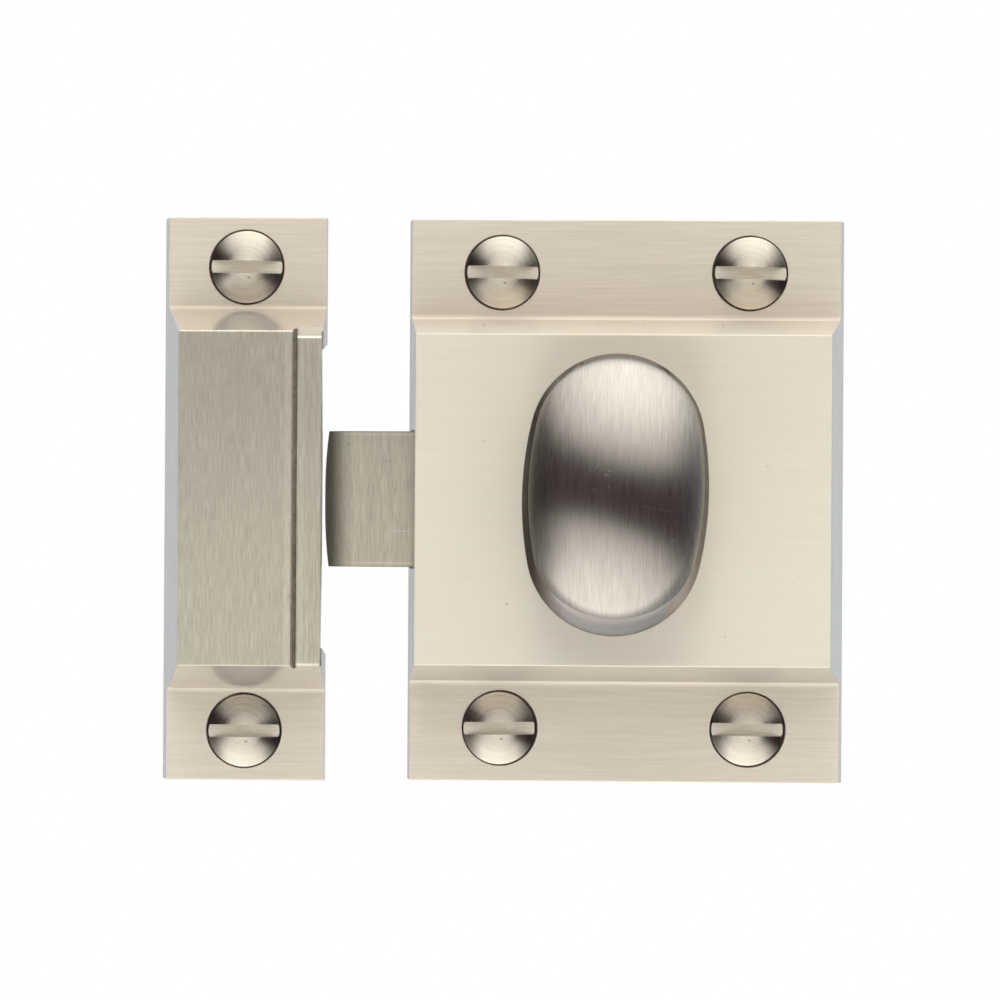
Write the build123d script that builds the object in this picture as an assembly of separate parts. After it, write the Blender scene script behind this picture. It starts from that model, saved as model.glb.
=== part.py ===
from build123d import *
import math
import os

# A cast brass cupboard turn latch and its keeper, finished in satin nickel, in millimetres.
# The origin is the middle of the case's back, +Z is up and the fronts face -Y.
# A depth is measured forward from the mounting plane, so a point at depth d has Y = -d.

overcut = 1.0  # how far a cut runs on past the faces that it opens

# Case casting
case_width = 39.4
case_height = 50.8
case_depth = 9.5
flange_width = 9.0  # from the case's end to the foot of the raised box
flange_thickness = 2.4
side_draft = 6.7  # degrees, on the left and right walls
end_draft = 12.7  # degrees, on the box's end walls
inner_draft = 5.0  # degrees, on the inner end walls of both castings
fold_radius = 0.5
edge_break = 0.15
face_wall = 1.3
side_wall = 1.7
end_wall = 1.7
boss_radius = 5.4  # inner boss that the knob turns in
boss_height = 0.55
rail_thickness = 1.6  # the two ribs that guide the bolt
rail_end = 9.6  # from the knob's axis to the ribs' inner ends
post_radius = 2.4
post_inset = 2.6  # from the back plate's edges to the posts' axes

# Back plate and its screws
plate_thickness = 1.5
plate_fit = 0.1  # gap all round in its rebate
plate_ledge_side = 0.5
plate_ledge_end = 0.8
plate_corner = 0.8
plate_screw_radius = 1.0
plate_screw_head_radius = 1.8
plate_screw_length = 5.2
plate_screw_slot = 0.5

# Wood screws
screw_radius = 1.75
screw_waist = 0.05  # the plain shank inside the casting is this much slimmer
screw_length = 16.0
screw_point = 4.0
head_radius = 3.35
head_rise = 1.05
head_rim = 0.12
head_angle = 45.0  # half of the countersink's angle, in degrees
slot_width = 1.15
slot_depth = 0.95
screw_fit = 0.2
sink_fit = 0.1
case_screw_side = 8.5  # from the case's sides to its screws' axes
case_screw_end = 4.8  # from the case's ends to its screws' axes
keeper_screw_end = 4.5
keeper_screw_shift = 0.2  # the keeper's screws stand this far right of its middle

# Knob
knob_x = -0.5
knob_z = 0.4
knob_half_width = 8.3
knob_half_height = 12.6
knob_end_radius = 7.8
knob_apex = 22.5  # depth of the highest point
knob_waist = 15.2  # depth of the widest outline
knob_under = 12.9  # depth where the neck begins
knob_band_taper = 12.0  # degrees
knob_under_taper = 45.0  # degrees
dome_radius_across = 8.95
dome_radius_up = 15.75
waist_round = 0.6  # on the widest edge
neck_radius = 4.4
neck_flare = 1.1
journal_radius = 3.5
journal_fit = 0.06
tang_width = 3.6
tang_fit = 0.05
knob_turn = 80.0  # degrees, clockwise from the front

# Washers, cam and cam screw
knob_washer_thickness = 0.3
knob_washer_radius = 5.6
cam_washer_thickness = 0.4
cam_washer_radius = 5.2
end_play = 0.05
cam_thickness = 2.4
cam_hub_radius = 3.9
cam_nose_radius = 1.2
cam_start = 0.6  # contact with the bolt at rest, right of the knob's axis
cam_overrun = 0.06  # radians of flank past the last contact
cam_gap = 0.04
cam_screw_radius = 1.2
cam_screw_head_radius = 2.4
cam_screw_head = 1.0
cam_screw_length = 4.2

# Bolt
bolt_height = 12.15
bolt_projection = 7.2
bolt_travel = 7.15
bolt_crown = 0.44
bolt_corner = 0.5
bolt_nose = 2.4
bolt_fit = 0.15  # gap above and below, in the slot and between the ribs
bolt_gap = 0.2  # gap in front of and behind the bolt
bolt_heel_gap = 0.4
tail_half_height = 7.6
tail_stop_gap = 0.1
cam_screw_gap = 0.3  # between the bolt's tail and the cam screw's head
seat_gap = 0.6  # from the cam's hub to the bolt's spring seat
seat_thickness = 1.6
seat_half_height = 6.6
lug_below = 0.7  # how far the follower reaches below the contact
lug_above = 1.3
lug_gap = 0.15  # between the follower and the cam's washer

# Spring
spring_wire = 0.45
spring_radius = 1.9  # to the middle of the wire
spring_turns = 6.5
spigot_radius = 1.3
spigot_length = 1.4
spring_fit = 0.05
pad_radius = 2.6
pad_depth = 0.9  # how far the spring's pad stands in from the right wall

# Keeper casting
keeper_gap = 7.5  # from the case to the keeper
keeper_width = 14.8
keeper_height = 51.0
keeper_depth = 10.0
keeper_flange_width = 8.25
keeper_draft = 12.5  # degrees, on the left wall
keeper_end_draft = 16.7  # degrees, on the bridge's end walls
lip_width = 2.45
lip_drop = 0.6
lip_overhang = 0.3  # how far the lip stands out over the mouth
lip_round = 0.4
lip_bow = 0.15
bridge_wall = 1.6
keeper_wall = 1.6


def slope(angle):
    return math.tan(math.radians(angle))


def same(a, b):
    return math.isclose(a, b, abs_tol=1e-4)


def case_half_width(depth):
    return case_width / 2 - depth * slope(side_draft)


def face_height(height, flange, depth, draft):
    """Height of a casting's raised front between its two sloping end walls."""
    return height - 2 * (flange + (depth - flange_thickness) * slope(draft))


# Depths and places that follow from the sizes above
case_face_height = face_height(case_height, flange_width, case_depth, end_draft)
keeper_face_height = face_height(keeper_height, keeper_flange_width, keeper_depth, keeper_end_draft)
case_screw_x = case_width / 2 - case_screw_side
case_screw_z = case_height / 2 - case_screw_end
keeper_screw_z = keeper_height / 2 - keeper_screw_end
face_inside = case_depth - face_wall
case_left = -case_width / 2
bolt_back = plate_thickness + bolt_gap
bolt_front = face_inside - bolt_gap
boss_end = face_inside - boss_height
cam_front = boss_end - end_play - cam_washer_thickness
cam_back = cam_front - cam_thickness
tail_front = cam_back - cam_screw_head - cam_screw_gap
follower_front = cam_front - lug_gap
knob_shoulder = case_depth + knob_washer_thickness + end_play
base_radius = bolt_travel / math.radians(knob_turn)
follower_face = knob_x + cam_start
seat_left = knob_x + cam_hub_radius + seat_gap
seat_right = seat_left + seat_thickness
bolt_tip = case_left - bolt_projection
bolt_heel = knob_x - boss_radius - bolt_travel - bolt_heel_gap
rail_right = knob_x - rail_end
spring_depth = (bolt_back + follower_front) / 2
pad_face = case_half_width(spring_depth) - side_wall - pad_depth
inner_end_face = case_face_height / 2 - end_wall
plate_half_width = case_half_width(plate_thickness) - side_wall + plate_ledge_side
plate_half_height = inner_end_face + (face_inside - plate_thickness) * slope(inner_draft) + plate_ledge_end
post_x = plate_half_width - post_inset
post_z = plate_half_height - post_inset
keeper_right = case_left - keeper_gap
keeper_left = keeper_right - keeper_width
keeper_middle = (keeper_left + keeper_right) / 2
keeper_screw_x = keeper_middle + keeper_screw_shift
lip_edge = keeper_right + lip_overhang
lip_step = lip_edge - lip_width
lip_front = keeper_depth - lip_drop


def raised(sketch, start, end):
    """Extrudes a shape drawn in the front view from one depth to another."""
    return extrude(Plane.XZ.offset(start) * sketch, amount=end - start)


def block(left, right, low, high, start, end):
    """A box given by its sides in the front view and its depths."""
    middle = Pos((left + right) / 2, (low + high) / 2)
    return raised(middle * Rectangle(right - left, high - low), start, end)


def turned(x, z, points):
    """Revolves a profile of (radius, depth) points about an axis that runs from front to back."""
    outline = Polyline(*[(x + r, -d) for r, d in points], close=True)
    return revolve(Pos(0, 0, z) * make_face(outline), Axis((x, 0, z), (0, 1, 0)))


def section(points, radii):
    """A closed outline with its own radius at each corner, 0 for a sharp one."""
    if not any(radii):
        return Polygon(*points, align=None)
    return make_face(FilletPolyline(*points, radius=radii, close=True))


def from_above(points, radii, height):
    """A section of (x, depth) points, seen from above, carried half the height up and down."""
    return extrude(section([(x, -d) for x, d in points], radii), amount=height / 2, both=True)


def from_the_side(points, radii, middle, width):
    """A section of (depth, z) points, seen from the side, carried half the width each way."""
    sketch = section([(-d, z) for d, z in points], radii)
    return extrude(Pos(middle, 0, 0) * (Plane.YZ * sketch), amount=width / 2, both=True)


def at_corners(x, z):
    """The four places that mirror (x, z) about the case's middle."""
    return [(-x, z), (x, z), (-x, -z), (x, -z)]


def upright_edge(body, x, depth):
    """The edge whose middle is nearest to a point of the section at mid-height."""
    return min(body.edges(), key=lambda edge: (edge @ 0.5 - Vector(x, -depth, 0)).length)


def screw_hole(x, z):
    """The countersunk hole of a wood screw through a flange."""
    mouth = head_radius + sink_fit
    hole = screw_radius + screw_fit
    throat = flange_thickness - (mouth - hole) / slope(head_angle)
    past = flange_thickness + overcut
    return turned(x, z, [
        (0, -overcut), (hole, -overcut), (hole, throat), (mouth, flange_thickness), (mouth, past), (0, past),
    ])


def flanged_box(height, flange, front_height, depth, middle, width):
    """Side view of a casting: two flanges with the raised box between them, folds hollow."""
    end, foot, face = height / 2, height / 2 - flange, front_height / 2
    points = [
        (0, -end), (flange_thickness, -end), (flange_thickness, -foot), (depth, -face),
        (depth, face), (flange_thickness, foot), (flange_thickness, end), (0, end),
    ]
    radii = [0, edge_break, fold_radius, edge_break, edge_break, fold_radius, edge_break, 0]
    return from_the_side(points, radii, middle, width)


def inner_ends(half_height, inside, middle, width):
    """Side view of a casting's hollow, which opens backwards."""
    back = half_height + (inside + overcut) * slope(inner_draft)
    points = [(-overcut, -back), (inside, -half_height), (inside, half_height), (-overcut, back)]
    return from_the_side(points, [0] * len(points), middle, width)


def case_outside():
    past = case_depth + overcut
    back, front = case_half_width(-overcut), case_half_width(past)
    sides = [(-back, -overcut), (-front, past), (front, past), (back, -overcut)]
    body = flanged_box(case_height, flange_width, case_face_height, case_depth, 0, 2 * case_width)
    body &= from_above(sides, [0] * len(sides), 2 * case_height)
    edge = case_half_width(case_depth)
    return fillet([upright_edge(body, x, case_depth) for x in (-edge, edge)], edge_break)


def case_hollow():
    """The hollow behind the face, with the rebate that the back plate lies in."""
    wall = side_wall / math.cos(math.radians(side_draft))
    back, front = case_half_width(-overcut) - wall, case_half_width(face_inside) - wall
    points = [(-back, -overcut), (-front, face_inside), (front, face_inside), (back, -overcut)]
    sides = from_above(points, [0] * len(points), case_height)
    wide, tall = plate_half_width, plate_half_height
    rebate = block(-wide, wide, -tall, tall, -overcut, plate_thickness)
    return (sides & inner_ends(inner_end_face, face_inside, 0, case_width)) + rebate


def case_insides():
    """Cast inside the case: boss, bolt ribs, corner posts and the spring's pad."""
    inside = raised(Pos(knob_x, knob_z) * Circle(boss_radius), boss_end, face_inside + edge_break)
    rib = bolt_height / 2 + bolt_fit
    for low in (rib, -rib - rail_thickness):
        inside += block(case_left, rail_right, low, low + rail_thickness, tail_front, case_depth)
    for x, z in at_corners(post_x, post_z):
        inside += raised(Pos(x, z) * Circle(post_radius), plate_thickness, case_depth)
    pad = Plane((pad_face, -spring_depth, 0), z_dir=(1, 0, 0))
    inside += extrude(pad * Circle(pad_radius), amount=case_width / 2)
    inside += extrude(pad * Circle(spigot_radius), amount=-spigot_length)
    return inside


def case():
    outside = case_outside()
    body = outside - case_hollow() + (case_insides() & outside)
    slot = bolt_height / 2 + bolt_fit
    wall_inside = -case_half_width(face_inside) + 2 * side_wall
    body -= block(case_left - overcut, wall_inside, -slot, slot, plate_thickness, face_inside)
    body -= raised(Pos(knob_x, knob_z) * Circle(journal_radius + journal_fit), 0, case_depth + overcut)
    for x, z in at_corners(case_screw_x, case_screw_z):
        body -= screw_hole(x, z)
    hole = plate_screw_radius + plate_fit
    for x, z in at_corners(post_x, post_z):
        body -= raised(Pos(x, z) * Circle(hole), 0, plate_screw_length + 2 * plate_fit)
    return body


def back_plate():
    outline = RectangleRounded(
        2 * (plate_half_width - plate_fit), 2 * (plate_half_height - plate_fit), plate_corner
    )
    plate = raised(outline, 0, plate_thickness)
    mouth = plate_screw_head_radius + plate_fit
    hole = plate_screw_radius + plate_fit
    throat = mouth - hole
    past = plate_thickness + overcut
    for x, z in at_corners(post_x, post_z):
        plate -= turned(x, z, [
            (0, -overcut), (mouth, -overcut), (mouth, 0), (hole, throat), (hole, past), (0, past),
        ])
    return plate


def back_plate_screw(x, z):
    shank, head, length = plate_screw_radius, plate_screw_head_radius, plate_screw_length
    tip = shank / 2
    screw = turned(x, z, [
        (0, 0), (head, 0), (shank, head - shank), (shank, length - tip), (tip, length), (0, length),
    ])
    half = plate_screw_slot / 2
    return screw - block(x - head, x + head, z - half, z + half, -overcut, plate_screw_slot)


def wood_screw(x, z):
    """Slotted raised head, plain shank and a point; the thread is too fine to carry here."""
    rim = flange_thickness + head_rim
    waist = screw_radius - screw_waist
    neck = flange_thickness - (head_radius - waist) / slope(head_angle)
    rise = head_rise - head_rim
    dome = (head_radius**2 + rise**2) / (2 * rise)
    tip = flange_thickness - screw_length
    flank = Polyline(
        (x, -rim - rise), (x, -tip), (x + screw_radius, -tip - screw_point), (x + screw_radius, 0),
        (x + waist, 0), (x + waist, -neck), (x + head_radius, -flange_thickness), (x + head_radius, -rim),
    )
    crown = RadiusArc((x + head_radius, -rim), (x, -rim - rise), -dome)
    profile = make_face(Wire([*flank.edges(), *crown.edges()]))
    screw = revolve(Pos(0, 0, z) * profile, Axis((x, 0, z), (0, 1, 0)))
    floor = rim + rise - slot_depth
    half = slot_width / 2
    past = rim + rise + overcut
    return screw - block(x - head_radius, x + head_radius, z - half, z + half, floor, past)


def oval(half_width, half_height, end_radius):
    """Four arcs that meet smoothly: two wide ones at the sides and a tighter one at each end."""
    drop = half_height - end_radius
    side_radius = (half_width**2 + drop**2 - end_radius**2) / (2 * (half_width - end_radius))
    span = side_radius - end_radius
    join_x = end_radius * (side_radius - half_width) / span
    join_z = drop * (1 + end_radius / span)
    outline = [
        ThreePointArc((-join_x, join_z), (0, half_height), (join_x, join_z)),
        ThreePointArc((join_x, join_z), (half_width, 0), (join_x, -join_z)),
        ThreePointArc((join_x, -join_z), (0, -half_height), (-join_x, -join_z)),
        ThreePointArc((-join_x, -join_z), (-half_width, 0), (-join_x, join_z)),
    ]
    return make_face(Wire([edge for arc in outline for edge in arc.edges()]))


def knob_dome():
    """The front of the knob is an arc across, swung along a larger arc up and down."""
    pivot = knob_apex - dome_radius_up
    middle = knob_apex - dome_radius_across
    reach = 2 * knob_half_width
    over = Pos(knob_x, -middle) * Circle(dome_radius_across)
    over &= Pos(knob_x, -middle - reach) * Rectangle(2 * reach, 2 * reach)
    under = Pos(knob_x, -(pivot + middle) / 2) * Rectangle(2 * reach, middle - pivot)
    swung = Pos(0, 0, knob_z) * (over + under)
    axis = Axis((0, -pivot, knob_z), (1, 0, 0))
    return revolve(swung, axis, 90) + revolve(swung, axis, -90)


def knob():
    outline = oval(knob_half_width, knob_half_height, knob_end_radius)
    front = Plane((knob_x, -knob_waist, knob_z), x_dir=(1, 0, 0), z_dir=(0, -1, 0))
    rear = Plane((knob_x, -knob_waist, knob_z), x_dir=(1, 0, 0), z_dir=(0, 1, 0))
    crown = extrude(front * outline, amount=knob_apex - knob_waist, taper=knob_band_taper) & knob_dome()
    under = extrude(rear * outline, amount=knob_waist - knob_under, taper=knob_under_taper)
    neck = turned(
        knob_x, knob_z,
        [(0, cam_back + tang_fit), (tang_width / 2, cam_back + tang_fit), (tang_width / 2, cam_front),
         (journal_radius, cam_front), (journal_radius, knob_shoulder), (neck_radius, knob_shoulder),
         (neck_radius, knob_under + edge_break), (0, knob_under + edge_break)],
    )
    tang = raised(
        Pos(knob_x, knob_z) * Rectangle(tang_width, tang_width), cam_back + tang_fit, cam_front + edge_break
    )
    body = crown + under + neck + tang
    root = body.edges().filter_by(GeomType.CIRCLE).filter_by(lambda e: same(e.radius, neck_radius))
    body = fillet(root.filter_by(lambda e: same(e.arc_center.Y, -knob_under)), neck_flare)
    waist = body.edges().filter_by(lambda e: same((e @ 0).Y, -knob_waist) and same((e @ 1).Y, -knob_waist))
    body = fillet(waist, waist_round)
    thread = raised(
        Pos(knob_x, knob_z) * Circle(cam_screw_radius + tang_fit),
        cam_back, cam_back + cam_screw_length + 2 * tang_fit,
    )
    return body - thread


def washer(depth, thickness, radius):
    ring = Circle(radius) - Circle(journal_radius + journal_fit)
    return raised(Pos(knob_x, knob_z) * ring, depth, depth + thickness)


def flank_point(roll):
    """A point of the cam's involute, which drives a flat face at an even rate."""
    start = cam_start / base_radius
    turn = roll - start
    reach = base_radius * roll - cam_gap
    return (
        reach * math.cos(turn) - base_radius * math.sin(turn),
        reach * math.sin(turn) + base_radius * math.cos(turn),
    )


def cam():
    start = cam_start / base_radius
    last = start + math.radians(knob_turn) + cam_overrun
    steps = 12
    flank = [flank_point(start + (last - start) * i / steps) for i in range(steps + 1)]
    out = last - start  # the angle that the flank faces at its end
    nose_x = flank[-1][0] - cam_nose_radius * math.cos(out)
    nose_z = flank[-1][1] - cam_nose_radius * math.sin(out)
    lean = math.acos((cam_hub_radius - cam_nose_radius) / math.hypot(nose_x, nose_z))
    back = math.atan2(nose_z, nose_x) + lean
    around = (out + back) / 2
    nose_top = (nose_x + cam_nose_radius * math.cos(around), nose_z + cam_nose_radius * math.sin(around))
    nose_back = (nose_x + cam_nose_radius * math.cos(back), nose_z + cam_nose_radius * math.sin(back))
    hub_back = (cam_hub_radius * math.cos(back), cam_hub_radius * math.sin(back))
    lobe = Wire([
        *Spline(*flank).edges(),
        *ThreePointArc(flank[-1], nose_top, nose_back).edges(),
        *Polyline(nose_back, hub_back, (0, 0), flank[0]).edges(),
    ])
    hole = tang_width + 2 * tang_fit
    outline = Circle(cam_hub_radius) + make_face(lobe) - Rectangle(hole, hole)
    return raised(Pos(knob_x, knob_z) * outline, cam_back, cam_front)


def cam_screw():
    end = cam_back + cam_screw_length
    return turned(
        knob_x, knob_z,
        [(0, cam_back - cam_screw_head), (cam_screw_head_radius, cam_back - cam_screw_head),
         (cam_screw_head_radius, cam_back), (cam_screw_radius, cam_back), (cam_screw_radius, end), (0, end)],
    )


def bolt():
    half = bolt_height / 2
    points = [(bolt_tip, bolt_back), (bolt_tip, bolt_front), (bolt_heel, bolt_front), (bolt_heel, bolt_back)]
    head = from_above(points, [bolt_corner, bolt_nose, edge_break, 0], bolt_height)
    shoulder = bolt_tip + bolt_crown
    plan = make_face(Wire([
        *ThreePointArc((shoulder, half), (bolt_tip, 0), (shoulder, -half)).edges(),
        *Polyline((shoulder, -half), (bolt_heel, -half), (bolt_heel, half), (shoulder, half)).edges(),
    ]))
    head &= raised(plan, 0, case_depth)
    stop = rail_right + tail_stop_gap
    tail = block(bolt_heel - overcut, stop, -half, half, bolt_back, tail_front)
    tail += block(stop, seat_right, -tail_half_height, tail_half_height, bolt_back, tail_front)
    seat = block(seat_left, seat_right, -seat_half_height, seat_half_height, bolt_back, follower_front)
    contact = knob_z + base_radius
    lug = block(
        follower_face, seat_left, contact - lug_below, contact + lug_above, bolt_back, follower_front
    )
    spigot = Plane((seat_right, -spring_depth, 0), z_dir=(1, 0, 0)) * Circle(spigot_radius)
    return head + tail + seat + lug + extrude(spigot, amount=spigot_length)


def bolt_spring():
    """Open coil between the bolt's seat and the pad on the right wall."""
    start = seat_right + spring_wire / 2 + spring_fit
    length = pad_face - seat_right - spring_wire - 2 * spring_fit
    coil = Helix(length / spring_turns, length, spring_radius, (start, -spring_depth, 0), (1, 0, 0))
    wire = Plane(coil @ 0, z_dir=coil % 0) * Circle(spring_wire / 2)
    return sweep(wire, path=coil, is_frenet=True)


def keeper_outside():
    """Flanges and bridge, with a drafted back side and a lip over the mouth."""
    lean, out = slope(keeper_draft), lip_overhang / lip_front
    front = keeper_left + keeper_depth * lean
    past = keeper_depth + overcut
    sides = [
        (keeper_left - overcut * lean, -overcut), (keeper_left + past * lean, past), (lip_step, past),
        (lip_step, lip_front), (lip_edge, lip_front), (keeper_right - overcut * out, -overcut),
    ]
    body = flanged_box(
        keeper_height, keeper_flange_width, keeper_face_height, keeper_depth, keeper_middle, 2 * keeper_width
    )
    body &= from_above(sides, [0] * len(sides), 2 * keeper_height)
    body = fillet(upright_edge(body, lip_step, keeper_depth), lip_round)
    body = fillet(upright_edge(body, front, keeper_depth), edge_break)
    half = keeper_face_height / 2
    end, past = lip_edge - lip_bow, lip_edge + overcut
    bow = make_face(Wire([
        *ThreePointArc((end, half), (lip_edge, 0), (end, -half)).edges(),
        *Polyline((end, -half), (past, -half), (past, half), (end, half)).edges(),
    ]))
    return body - raised(bow, keeper_depth - bridge_wall, keeper_depth)


def keeper_hollow():
    """Open at the back and towards the bolt."""
    inside = keeper_depth - bridge_wall
    wall = keeper_wall / math.cos(math.radians(keeper_draft))
    back = keeper_left + wall - overcut * slope(keeper_draft)
    front = keeper_left + wall + inside * slope(keeper_draft)
    past = lip_edge + overcut
    points = [(back, -overcut), (front, inside), (past, inside), (past, -overcut)]
    sides = from_above(points, [0] * len(points), keeper_height)
    end_face = keeper_face_height / 2 - keeper_wall
    return sides & inner_ends(end_face, inside, keeper_middle, 2 * keeper_width)


def keeper():
    body = keeper_outside() - keeper_hollow()
    for z in (keeper_screw_z, -keeper_screw_z):
        body -= screw_hole(keeper_screw_x, z)
    return body


def parts():
    made = {
        "case": case(),
        "back_plate": back_plate(),
        "knob": knob(),
        "knob_washer": washer(case_depth, knob_washer_thickness, knob_washer_radius),
        "cam_washer": washer(cam_front, cam_washer_thickness, cam_washer_radius),
        "cam": cam(),
        "cam_screw": cam_screw(),
        "bolt": bolt(),
        "bolt_spring": bolt_spring(),
        "keeper": keeper(),
    }
    for i, (x, z) in enumerate(at_corners(post_x, post_z), 1):
        made[f"back_plate_screw_{i}"] = back_plate_screw(x, z)
    for i, (x, z) in enumerate(at_corners(case_screw_x, case_screw_z), 1):
        made[f"case_screw_{i}"] = wood_screw(x, z)
    for i, z in enumerate((keeper_screw_z, -keeper_screw_z), 1):
        made[f"keeper_screw_{i}"] = wood_screw(keeper_screw_x, z)
    return made


os.makedirs("parts", exist_ok=True)
for name, piece in parts().items():
    export_step(piece, f"parts/{name}.step")
    print(name, round(piece.volume, 2))
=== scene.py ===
import bpy
import bmesh
import math
from mathutils import Matrix, Vector


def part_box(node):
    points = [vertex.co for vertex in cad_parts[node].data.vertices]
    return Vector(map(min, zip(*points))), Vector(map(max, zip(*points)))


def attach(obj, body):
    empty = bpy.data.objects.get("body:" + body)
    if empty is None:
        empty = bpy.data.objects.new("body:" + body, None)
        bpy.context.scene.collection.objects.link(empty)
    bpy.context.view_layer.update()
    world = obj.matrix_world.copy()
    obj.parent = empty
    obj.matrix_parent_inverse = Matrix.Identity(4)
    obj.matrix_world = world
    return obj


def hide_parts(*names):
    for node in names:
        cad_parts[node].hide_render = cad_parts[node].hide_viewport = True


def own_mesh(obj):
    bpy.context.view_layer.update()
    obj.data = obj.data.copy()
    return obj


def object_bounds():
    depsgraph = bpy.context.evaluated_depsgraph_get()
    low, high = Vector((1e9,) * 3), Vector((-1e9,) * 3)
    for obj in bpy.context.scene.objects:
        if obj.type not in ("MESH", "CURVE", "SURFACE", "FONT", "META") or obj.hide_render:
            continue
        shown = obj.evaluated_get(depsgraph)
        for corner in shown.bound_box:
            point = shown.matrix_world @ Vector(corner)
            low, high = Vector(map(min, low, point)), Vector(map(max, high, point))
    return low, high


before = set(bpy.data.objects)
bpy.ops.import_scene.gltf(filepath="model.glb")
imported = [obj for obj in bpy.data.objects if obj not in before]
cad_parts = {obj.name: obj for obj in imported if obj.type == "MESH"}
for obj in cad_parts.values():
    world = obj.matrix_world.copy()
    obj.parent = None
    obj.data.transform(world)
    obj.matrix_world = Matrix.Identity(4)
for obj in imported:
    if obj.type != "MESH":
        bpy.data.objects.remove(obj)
cadLow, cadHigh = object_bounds()
print("frame loaded:", len(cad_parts), "nodes")

mm = 0.001
weld = 1e-7  # m, points nearer than this are one
white = (1.0, 1.0, 1.0)
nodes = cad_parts


# The camera stands where the photograph was taken from: a little right of the middle, looking left.
camera = {
    "place": (13.5, -530.0, -3.4),  # mm
    "turnLeft": 2.69,  # degrees
    "tiltUp": 0.37,
    "roll": 0.35,
    "lens": 210.16,  # mm
    "sensor": 36.0,
    "clip": (0.01, 50.0),  # m
}


def makeCamera(c):
    data = bpy.data.cameras.new("camera")
    data.lens, data.sensor_width = c["lens"], c["sensor"]
    data.clip_start, data.clip_end = c["clip"]
    shot = bpy.data.objects.new("camera", data)
    bpy.context.scene.collection.objects.link(shot)
    turn = Matrix.Rotation(math.radians(c["turnLeft"]), 4, "Z")
    tilt = Matrix.Rotation(math.radians(90 + c["tiltUp"]), 4, "X")
    roll = Matrix.Rotation(math.radians(c["roll"]), 4, "Z")
    shot.matrix_world = Matrix.Translation(Vector(c["place"]) * mm) @ turn @ tilt @ roll
    bpy.context.scene.camera = shot


makeCamera(camera)
print("camera placed")


# Shader helpers
def addNode(tree, kind, **inputs):
    made = tree.nodes.new(kind)
    for name, value in inputs.items():
        made.inputs[name].default_value = value
    return made


def join(tree, source, target):
    tree.links.new(source, target)


def mathNode(tree, operation, a, b=None, clamp=False):
    made = tree.nodes.new("ShaderNodeMath")
    made.operation = operation
    made.use_clamp = clamp
    for slot, value in enumerate((a, b)):
        if isinstance(value, (int, float)):
            made.inputs[slot].default_value = value
        elif value is not None:
            join(tree, value, made.inputs[slot])
    return made.outputs[0]


def vectorNode(tree, operation, a, b=None):
    made = tree.nodes.new("ShaderNodeVectorMath")
    made.operation = operation
    join(tree, a, made.inputs[0])
    if b:
        made.inputs[1].default_value = b
    return made.outputs["Vector" if operation == "MULTIPLY" else "Value"]


def ramp(tree, value, start, end, low=0.0, high=1.0):  # smooth step from low to high
    made = tree.nodes.new("ShaderNodeMapRange")
    made.interpolation_type = "SMOOTHSTEP"
    join(tree, value, made.inputs["Value"])
    made.inputs["From Min"].default_value = start
    made.inputs["From Max"].default_value = end
    made.inputs["To Min"].default_value = low
    made.inputs["To Max"].default_value = high
    return made.outputs["Result"]


def mixColour(tree, share, a, b, blend="MIX"):
    made = tree.nodes.new("ShaderNodeMix")
    made.data_type = "RGBA"
    made.blend_type = blend
    made.clamp_factor = False
    made.clamp_result = blend == "MULTIPLY"
    for slot, value in ((0, share), (6, a), (7, b)):  # a Mix node's factor and its two colours
        if isinstance(value, (int, float)):
            made.inputs[slot].default_value = value
        elif isinstance(value, tuple):
            made.inputs[slot].default_value = (*value, 1.0)
        else:
            join(tree, value, made.inputs[slot])
    return made.outputs[2]


# The studio: one soft box over the camera and one under it, darkness between them, and a white sheet behind
studio = {
    # lean is in degrees, edge is the height over which a box fades in, slope and start give how it brightens upwards,
    # and sides is how far sideways it starts to fade, where it has faded, and what is left of it there
    "upper": {"lean": 9.0, "edge": (0.16, 0.45), "slope": 1.20, "start": -0.185, "sides": (0.80, 0.98, 0.55)},
    "lower": {"lean": 11.0, "edge": (0.18, 0.42), "slope": 0.95, "start": 0.0, "sides": (0.74, 0.98, 0.35)},
    "gain": 1.70,
    "softLight": 2.0,  # how much stronger the boxes are for the matt share of a finish
    "boxColour": (1.0, 0.975, 0.905),
    "gapColour": (0.075, 0.058, 0.065),
    "sheetColour": (0.50, 0.53, 0.56),
    "sheetFrom": (0.05, 0.75),  # how far back the sheet starts, and where it is whole
    "sheetShort": 0.10,  # how much later the sheet starts on the left
    "sheetRise": (0.2, 0.75),  # the height over which it brightens
    "sheetTop": 0.55,  # how much brighter it is above
    "floorDrop": 78.0,  # mm below the latch
    "floorRadius": 450.0,
    "floorSides": 96,
    "floorColour": (0.9, 0.9, 0.9),
    "floorRough": 0.9,
}


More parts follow.
